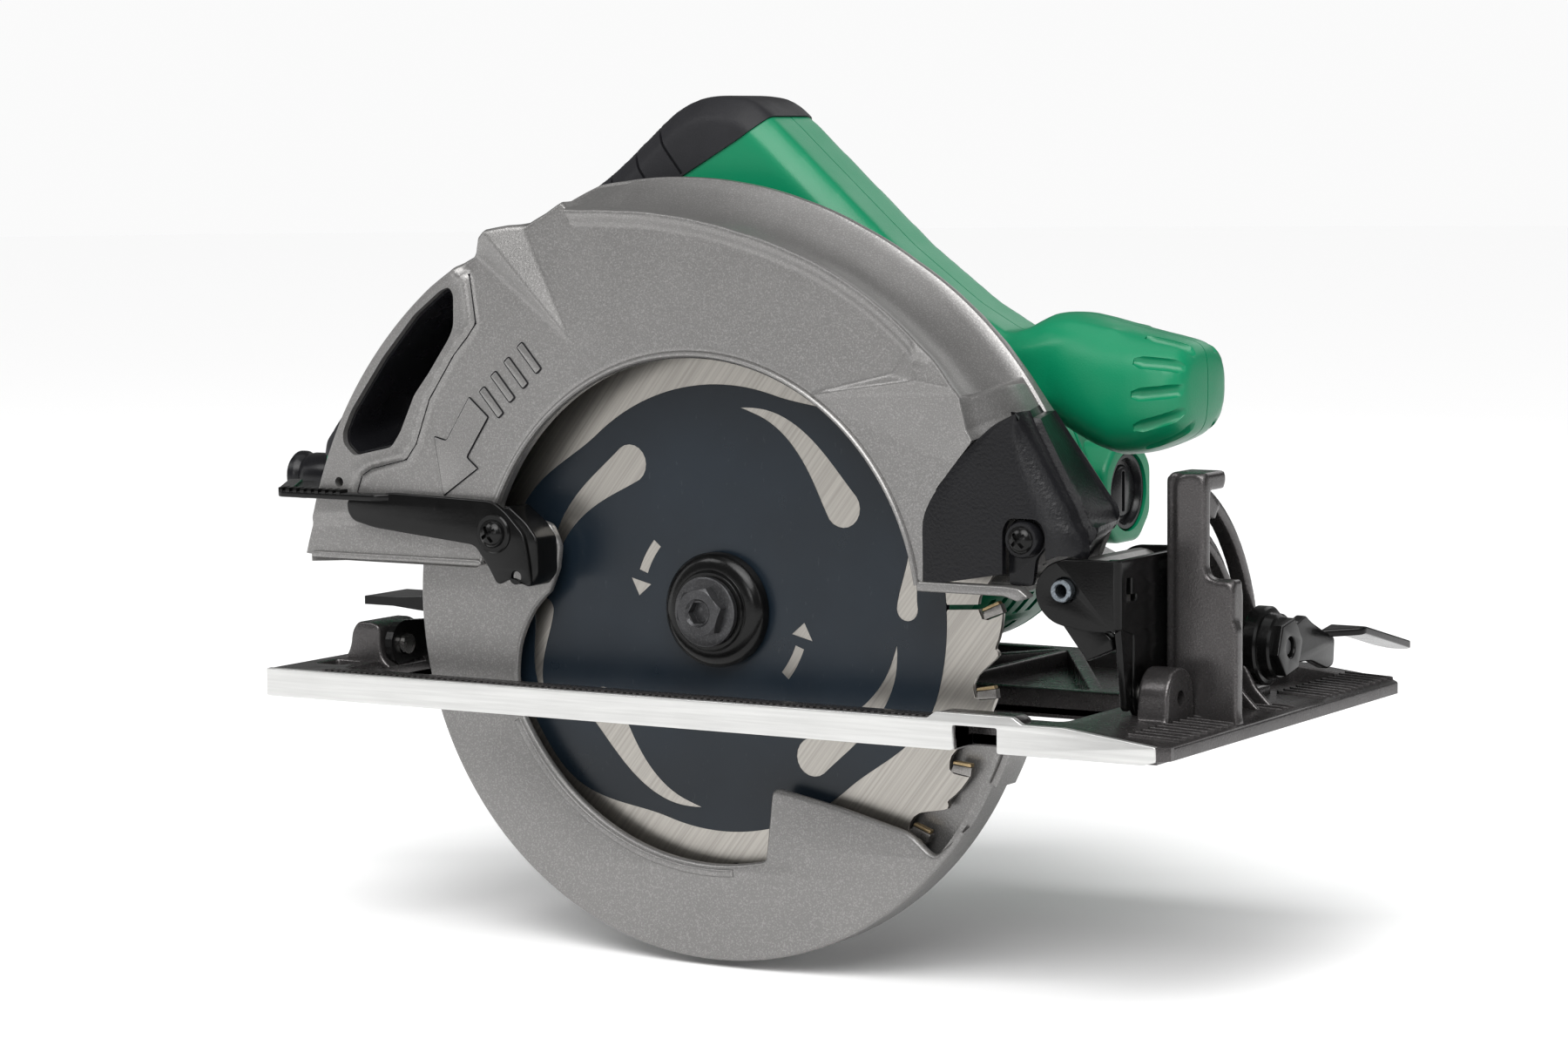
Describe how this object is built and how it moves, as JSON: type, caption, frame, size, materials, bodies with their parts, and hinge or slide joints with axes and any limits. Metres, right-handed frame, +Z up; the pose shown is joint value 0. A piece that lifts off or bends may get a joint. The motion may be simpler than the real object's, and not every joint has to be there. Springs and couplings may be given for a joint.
{
  "type": "circular saw",
  "caption": "Corded circular saw with a right-hand blade, sprung lower guard, tilting base, depth adjustment, D-handle with trigger and front handle.",
  "frame": {"origin": "on the underside of the base, under the blade's arbor and on the base's centre line", "axes": "+X forward in the cutting direction, +Y left towards the motor, +Z up"},
  "size_m": [0.3448, 0.2019, 0.2472],
  "materials": {
    "base_paint": "dark gunmetal paint, near edge milled bright",
    "guard_paint": "fine metallic grey paint, satin",
    "black_steel": "black oxide, semi-gloss",
    "black_plastic": "fine textured",
    "black_rubber": "matt",
    "green_plastic": "fine textured, satin",
    "steel": "machined",
    "aluminium": "as cast",
    "blade_coating": "dark slide coating over brushed steel",
    "copper": "machined",
    "lamination": "stacked sheet"
  },
  "bodies": {
    "base": {"base_plate": "base_paint", "front_bevel_boss": "base_paint", "bevel_quadrant": "base_paint", "front_bevel_pin": "steel", "rear_bevel_pin": "steel"},
    "bevel_frame": {"hinge_bracket": "black_steel", "depth_hinge_pin": "steel", "bevel_clamp_bolt": "steel", "depth_link": "black_steel"},
    "bevel_lever": {"bevel_lever": "black_steel"},
    "head": {"upper_guard": "guard_paint", "chip_cover": "black_plastic", "chip_cover_screw": "black_steel", "inner_cover": "guard_paint", "gear_case": "aluminium", "spindle_bearing": "steel", "spindle_bush": "copper", "front_motor_bearing": "steel", "rear_motor_bearing": "steel", "motor_housing": "green_plastic", "tail_cover": "green_plastic", "stator": "lamination", "brush_holder_front": "copper", "brush_holder_rear": "copper", "brush_cap_front": "black_plastic", "brush_cap_rear": "black_plastic", "handle_shell_left": "green_plastic", "handle_shell_right": "green_plastic", "grip_rubber": "black_rubber", "switch_body": "black_plastic", "cord_inlet": "black_rubber", "handle_screw_1": "black_steel", "handle_screw_2": "black_steel", "handle_screw_3": "black_steel", "handle_screw_4": "black_steel", "handle_screw_5": "black_steel", "depth_clamp_bolt": "steel", "guard_spring": "steel", "trigger_pin": "steel"},
    "blade_spindle": {"spindle": "steel", "drive_gear": "steel", "inner_flange": "steel", "saw_blade": "blade_coating", "outer_flange": "black_steel", "blade_bolt": "black_steel"},
    "armature": {"armature_shaft": "steel", "armature_core": "lamination", "commutator": "copper", "cooling_fan": "black_plastic"},
    "lower_guard": {"lower_guard": "guard_paint", "guard_lever": "black_steel", "guard_lever_screw": "black_steel"},
    "trigger": {"trigger": "black_plastic"},
    "depth_lever": {"depth_lever": "black_steel"}
  },
  "joints": [
    {"name": "bevel", "type": "hinge", "parent": "base", "child": "bevel_frame", "pos_m": [0, -0.04025, 0.0128], "axis": [1, 0, 0], "range_deg": [0, 45]},
    {"name": "depth", "type": "hinge", "parent": "bevel_frame", "child": "head", "pos_m": [0.1174, -0.04175, 0.0421], "axis": [0, 1, 0], "range_deg": [0, 30]},
    {"name": "bevel_lever_turn", "type": "hinge", "parent": "bevel_frame", "child": "bevel_lever", "pos_m": [0, 0.01308, 0.02125], "axis": [1, 0, 0], "range_deg": [0, 40]},
    {"name": "depth_lever_turn", "type": "hinge", "parent": "head", "child": "depth_lever", "pos_m": [-0.08499, -0.04175, 0.0219], "axis": [0, 1, 0], "range_deg": [0, 22]},
    {"name": "blade_spin", "type": "hinge", "parent": "head", "child": "blade_spindle", "pos_m": [0, -0.04175, 0.0295], "axis": [0, 1, 0], "continuous": true},
    {"name": "armature_spin", "type": "hinge", "parent": "head", "child": "armature", "pos_m": [0.01563, -0.04175, 0.05452], "axis": [0, 1, 0], "continuous": true},
    {"name": "guard_retract", "type": "hinge", "parent": "head", "child": "lower_guard", "pos_m": [0, -0.04175, 0.0295], "axis": [0, 1, 0], "range_deg": [0, 115], "stiffness_Nm_per_rad": 0.3, "springref_deg": -68.75},
    {"name": "trigger_pull", "type": "hinge", "parent": "head", "child": "trigger", "pos_m": [-0.034, -0.04175, 0.132], "axis": [0, 1, 0], "range_deg": [0, 10], "stiffness_Nm_per_rad": 0.35, "springref_deg": -17.19}
  ],
  "couplings": [
    {"joint": "armature_spin", "follows": "blade_spin", "ratio": -4.9}
  ]
}
